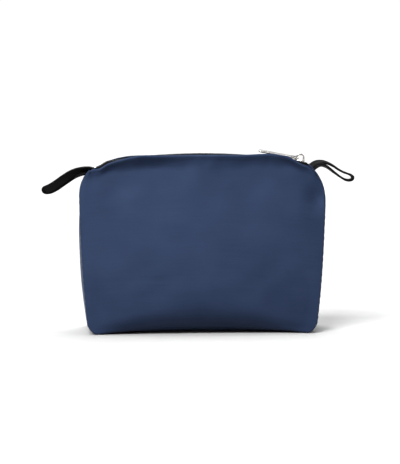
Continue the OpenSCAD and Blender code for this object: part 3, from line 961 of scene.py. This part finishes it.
def make_pull():
    half = PULL_W / 2
    tip, neck = -PULL_L + half, -6.9 * MM
    waist = 2.45 * MM
    outer = arc(tip, 0, half, 90, 270, 24)
    outer += [(tip + 9 * MM, -half), (tip + 14 * MM, -half + 0.15 * MM)]
    outer += [(neck - 6 * MM, -waist), (neck - 2.4 * MM, -half + 0.25 * MM)]
    outer += [(neck - 0.6 * MM, -half), (0.0, -half)] + arc(0.0, -half + 0.68 * MM, 0.68 * MM, 270, 360, 6)
    right = outer[-1]
    outer = outer + [(right[0], -1.75 * MM)]
    inner = [(-0.2 * MM, -1.75 * MM), (neck + 0.8 * MM, -1.75 * MM)] + arc(neck + 1.3 * MM, 0, 1.75 * MM, 230, 130, 9)
    outline = outer + inner + [(neck + 0.8 * MM, 1.75 * MM), (-0.2 * MM, 1.75 * MM)]
    outline += [(right[0], 1.75 * MM)] + [(x, -y) for x, y in reversed(outer[24:-1])]
    slot = arc(-PULL_L + 3 * MM, 0, 1.3 * MM, 90, 270, 12) + arc(-PULL_L + 8.5 * MM, 0, 1.3 * MM, -90, 90, 12)
    place = slider_place() @ Matrix.Translation((PULL_PIVOT[0], 0, PULL_PIVOT[1]))
    place = place @ Matrix.Rotation(PULL_ROLL, 4, "X") @ Matrix.Rotation(-PULL_TILT, 4, "Y")
    bar = plate("pull", [outline, slot], PULL_T, 0.42 * MM, place)
    y = np.linspace(-half + 0.2 * MM, half - 0.2 * MM, 9)
    verts, faces = tube(np.stack([0 * y, y, 0 * y], -1), 0.62 * MM, 16)
    pin = bpy.data.meshes.new("pin")
    pin.from_pydata([tuple(v) for v in verts], [], faces)
    pin.transform(place)
    as_piece("pull_bar", [bar, pin], NICKEL, ["pull_tab"], "pull")


def make_stops():
    s = ARCH_R * math.asin((0.104 + 1.6 * MM) / ARCH_R)
    parts = []
    for side in (-1, 1):
        y = side * (COIL_HALF_W + PART_Y - 0.9 * MM)
        turn = np.radians(np.linspace(-150, 150, 20))
        across = y - side * 0.25 * MM + side * 0.75 * MM * np.cos(turn)
        line = on_arch(np.full(20, s), across, 0.85 * MM * np.sin(turn))
        parts.append(tube(line, 0.42 * MM, 10, up=(1, 0, 0)))
    verts, faces = joined(parts)
    stops = bpy.data.meshes.new("stops")
    stops.from_pydata([tuple(v) for v in verts], [], faces)
    as_piece("top_stop_clamps", [stops], NICKEL, ["top_stops"], "pouch")
    hang = float(droop(-ARCH_R * math.sin(s / ARCH_R)))
    place = Matrix.Rotation(-s / ARCH_R, 4, "Y") @ Matrix.Translation((0, 0, ARCH_R))
    place = Matrix.Translation((0, 0, ARCH_Z - hang)) @ place
    turn = np.linspace(0, 2 * np.pi, 30)
    ring = np.stack([2.35 * MM * np.sign(np.cos(turn)) * np.abs(np.cos(turn)) ** 0.5,
                     0.85 * MM * np.sign(np.sin(turn)) * np.abs(np.sin(turn)) ** 0.5], -1)
    clamp = swept("bottom", ring, 2.1 * MM, 0.55 * MM, place @ Matrix.Rotation(math.pi / 2, 4, "Z"), 14, 0.5)
    as_piece("bottom_stop_clamp", [clamp], NICKEL, ["bottom_stop"], "pouch")


make_slider()
make_pull()
make_stops()

# ---- Ribbon loops

RIBBON_W = 8 * MM
RIBBON_T = 2.1 * MM
# Points along the middle of each ribbon, close to the CAD's: x, y and z in millimetres, and its face's turn in
# degrees
RIGHT_ROUTE = [
    (107.6, 0.9, 160.6, 30), (110.8, 0.8, 164.0, 30), (115.6, 0.7, 166.9, 24), (121.0, 0.6, 167.6, 16),
    (126.0, 0.4, 166.6, 10), (131.6, 0.2, 164.0, 6), (137.0, 0.0, 160.4, 4), (142.0, 0.0, 157.6, 2),
    (146.6, 0.0, 155.9, 0), (150.0, 0.0, 154.4, -2), (151.9, 0.0, 152.4, -4), (151.3, 0.0, 150.3, -4),
    (148.4, 0.0, 149.2, -4), (144.6, 0.0, 149.8, -4), (140.4, 0.0, 152.0, -2), (135.8, -0.1, 155.2, 0),
    (131.0, -0.2, 158.9, 4), (126.0, -0.4, 162.6, 8), (121.0, -0.6, 164.6, 16), (116.4, -0.8, 164.0, 26),
    (112.6, -0.9, 161.4, 30), (109.6, -0.9, 158.4, 30)]
LEFT_ROUTE = [
    (-107.6, -0.9, 160.2, 28), (-111.4, -0.9, 161.2, 32), (-115.8, -0.9, 161.0, 38),
    (-121.0, -1.1, 160.0, 48), (-126.0, -1.5, 158.4, 58),
    (-131.0, -2.1, 155.9, 68), (-136.2, -2.8, 152.6, 76), (-141.4, -3.4, 149.0, 82), (-146.8, -3.7, 145.3, 86),
    (-151.2, -3.3, 142.8, 88), (-154.4, -1.7, 141.3, 88), (-155.3, 0.3, 140.7, 88), (-154.2, 2.3, 140.2, 88),
    (-150.6, 3.6, 140.6, 88), (-145.8, 3.6, 142.8, 86), (-140.6, 3.2, 146.3, 82), (-135.6, 2.6, 149.8, 76),
    (-130.6, 2.1, 153.2, 68), (-125.8, 1.5, 155.8, 58), (-121.0, 1.1, 157.4, 48), (-116.4, 0.9, 158.2, 38),
    (-112.0, 0.9, 158.0, 30)]


def catmull(route, per=8):
    """A smooth curve through the points of a route."""
    p = np.array(route, float)
    p = np.concatenate([p[:1], p, p[-1:]])
    out = []
    for i in range(1, len(p) - 2):
        for t in np.arange(per) / per:
            a, b, c, d = p[i - 1: i + 3]
            out.append(0.5 * (2 * b + (c - a) * t + (2 * a - 5 * b + 4 * c - d) * t**2 + (3 * b - a - 3 * c + d) * t**3))
    out.append(p[-2])
    return np.array(out)


def make_loop(word, route, node):
    """A folded ribbon with rounded selvedges, swept along its route."""
    line = catmull(route)
    middle, face = line[:, :3] * MM, np.radians(line[:, 3])
    along = np.gradient(middle, axis=0)
    along /= np.linalg.norm(along, axis=1, keepdims=True)
    level = np.array([0, 1, 0]) - along * along[:, 1:2]
    level /= np.linalg.norm(level, axis=1, keepdims=True)
    up = np.cross(along, level)
    wide = np.cos(face)[:, None] * level + np.sin(face)[:, None] * up
    thin = np.cross(along, wide)
    across = [(-1.0, 0.0), (-0.985, 0.38), (-0.93, 0.5), (-0.80, 0.47), (-0.4, 0.45), (0.0, 0.45), (0.4, 0.45),
              (0.80, 0.47), (0.93, 0.5), (0.985, 0.38), (1.0, 0.0)]
    section = across + [(x, -y) for x, y in reversed(across[1:-1])]
    rings = np.stack([middle + wide * (x * RIBBON_W / 2) + thin * (y * RIBBON_T) for x, y in section], 1)
    n, m = rings.shape[:2]
    s = np.concatenate([[0], np.cumsum(np.linalg.norm(np.diff(middle, axis=0), axis=1))])
    uv = np.stack([np.broadcast_to(s[:, None], (n, m)),
                   np.broadcast_to(np.array([x for x, _ in section]) * RIBBON_W / 2, (n, m))], -1)
    index = np.arange(n * m).reshape(n, m)
    nxt = np.roll(index, -1, axis=1)
    faces = np.stack([index[:-1], nxt[:-1], nxt[1:], index[1:]], -1).reshape(-1, 4)
    faces = [tuple(f) for f in faces[:, ::-1]] + [tuple(index[0][::-1]), tuple(index[-1])]
    loop = mesh_piece(f"{word}_ribbon", rings.reshape(-1, 3), faces, RIBBON, uv.reshape(-1, 2))
    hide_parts(node)
    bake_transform(loop)


make_loop("left", LEFT_ROUTE, "left_loop")
make_loop("right", RIGHT_ROUTE, "right_loop")

# ---- Slip pocket

POCKET_HALF = 0.055


def make_pocket():
    """The slip pocket's panel and its bound top edge. The sides stay with the wall and the middle gapes."""
    xs = np.linspace(-POCKET_HALF, POCKET_HALF, 57)
    rows = np.linspace(0.08, 0.6, 40)
    u = np.broadcast_to((xs / HALF_W * 1.02)[:, None], (57, 40))
    v = np.broadcast_to(rows[None], (57, 40))
    skin = wall(u, v, 1)
    depth = CLOTH_T + LAYER_GAP + LINING_T + 0.9 * MM
    edge = np.minimum(POCKET_HALF - np.abs(xs)[:, None], (v - 0.08) * CORNER_H)
    puff = 1.6 * MM * smooth(edge / 0.02)
    outer = inward(skin, depth + 0.6 * MM + puff, True)
    front = inward(skin, depth + puff, True)
    for word, sign, keep in (("left", -1, (0, 29)), ("right", 1, (28, None))):
        panel = sheet_piece(f"pocket_cloth_{word}", front, outer, LINING, True, (), keep)
        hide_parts("pocket_panel")
        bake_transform(panel)
    top = slice(36, None)
    rim_front = inward(skin, depth - 0.25 * MM + puff, True)[:, top]
    rim_back = inward(skin, depth + 0.85 * MM + puff, True)[:, top]
    for word, sign, keep, cut in (("left", -1, (0, 29), "east"), ("right", 1, (28, None), "west")):
        binding = sheet_piece(f"pocket_edge_{word}", rim_front, rim_back, BINDING, True, (cut,), keep)
        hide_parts("pocket_binding")
        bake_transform(binding)


make_pocket()

# ---- Floor, lights and camera


def make_floor():
    mesh = bpy.data.meshes.new("floor")
    size = 30.0
    mesh.from_pydata([(-size, -size, 0), (size, -size, 0), (size, size, 0), (-size, size, 0)], [], [(0, 1, 2, 3)])
    m = Nodes("pale_floor")
    grain = m.noise(m.solid((1, 1, 1)), 40.0, 2.0)
    m.to_shader(m.ramp(grain.outputs["Fac"], [(0.3, (0.305, 0.305, 0.305)), (0.7, (0.315, 0.315, 0.315))]), "Base Color")
    m.set(Roughness=0.9, Specular_IOR_Level=0.1)
    mesh.materials.append(m.material)
    floor = bpy.data.objects.new("floor", mesh)
    bpy.context.scene.collection.objects.link(floor)


def softbox(name, place, aim, size, power):
    light = bpy.data.lights.new(name, "AREA")
    light.shape = "RECTANGLE"
    light.size, light.size_y = size
    light.energy = power
    lamp = bpy.data.objects.new(name, light)
    lamp.location = place
    lamp.rotation_euler = (Vector(aim) - Vector(place)).to_track_quat("-Z", "Y").to_euler()
    bpy.context.scene.collection.objects.link(lamp)


def sun(name, azimuth, elevation, strength, softness):
    """A distant light, with angles in degrees. Azimuth 0 shines from the front and grows towards the right."""
    light = bpy.data.lights.new(name, "SUN")
    light.energy = strength
    light.angle = math.radians(softness)
    lamp = bpy.data.objects.new(name, light)
    a, e = math.radians(azimuth), math.radians(elevation)
    away = Vector((math.sin(a) * math.cos(e), -math.cos(a) * math.cos(e), math.sin(e)))
    lamp.rotation_euler = (-away).to_track_quat("-Z", "Y").to_euler()
    bpy.context.scene.collection.objects.link(lamp)


def make_light():
    """A bright band around the horizon under a dim sky, with softboxes above."""
    world = bpy.data.worlds.new("studio")
    bpy.context.scene.world = world
    world.use_nodes = True
    tree = world.node_tree
    place = tree.nodes.new("ShaderNodeTexCoord")
    height = tree.nodes.new("ShaderNodeSeparateXYZ")
    ramp = tree.nodes.new("ShaderNodeValToRGB")
    tree.links.new(place.outputs["Generated"], height.inputs["Vector"])
    tree.links.new(height.outputs["Z"], ramp.inputs["Fac"])
    tree.links.new(ramp.outputs["Color"], tree.nodes["Background"].inputs["Color"])
    ramp.color_ramp.elements[0].position = 0.07
    ramp.color_ramp.elements[0].color = (1, 1, 1, 1)
    ramp.color_ramp.elements[1].position = 0.22
    ramp.color_ramp.elements[1].color = (0.22, 0.22, 0.22, 1)
    tree.nodes["Background"].inputs["Strength"].default_value = 1.05
    sun("key", -32, 48, 7.0, 28)
    sun("back", 172, 72, 5.4, 38)
    softbox("fill", (1.6, -1.4, 1.0), (0, 0, 0.09), (0.9, 0.9), 5)
    softbox("rear", (0.2, 2.6, 1.7), (0, 0, 0.15), (2.4, 1.2), 6.5)
    bpy.context.scene.view_settings.view_transform = "Standard"


def make_camera():
    """A long lens, a little above the pouch and a little to its left."""
    target = Vector((-1.5 * MM, 0, 0.0979))
    azimuth, elevation, distance = math.radians(-4), math.radians(4.5), 2.0
    height_seen = 0.464
    sensor = 36
    away = Vector((math.sin(azimuth) * math.cos(elevation), -math.cos(azimuth) * math.cos(elevation),
                   math.sin(elevation)))
    camera = bpy.data.cameras.new("camera")
    camera.sensor_width = sensor
    camera.lens = sensor * distance / height_seen
    eye = bpy.data.objects.new("camera", camera)
    eye.location = target + away * distance
    eye.rotation_euler = (-away).to_track_quat("-Z", "Y").to_euler()
    bpy.context.scene.collection.objects.link(eye)
    bpy.context.scene.camera = eye


make_floor()
make_light()
make_camera()
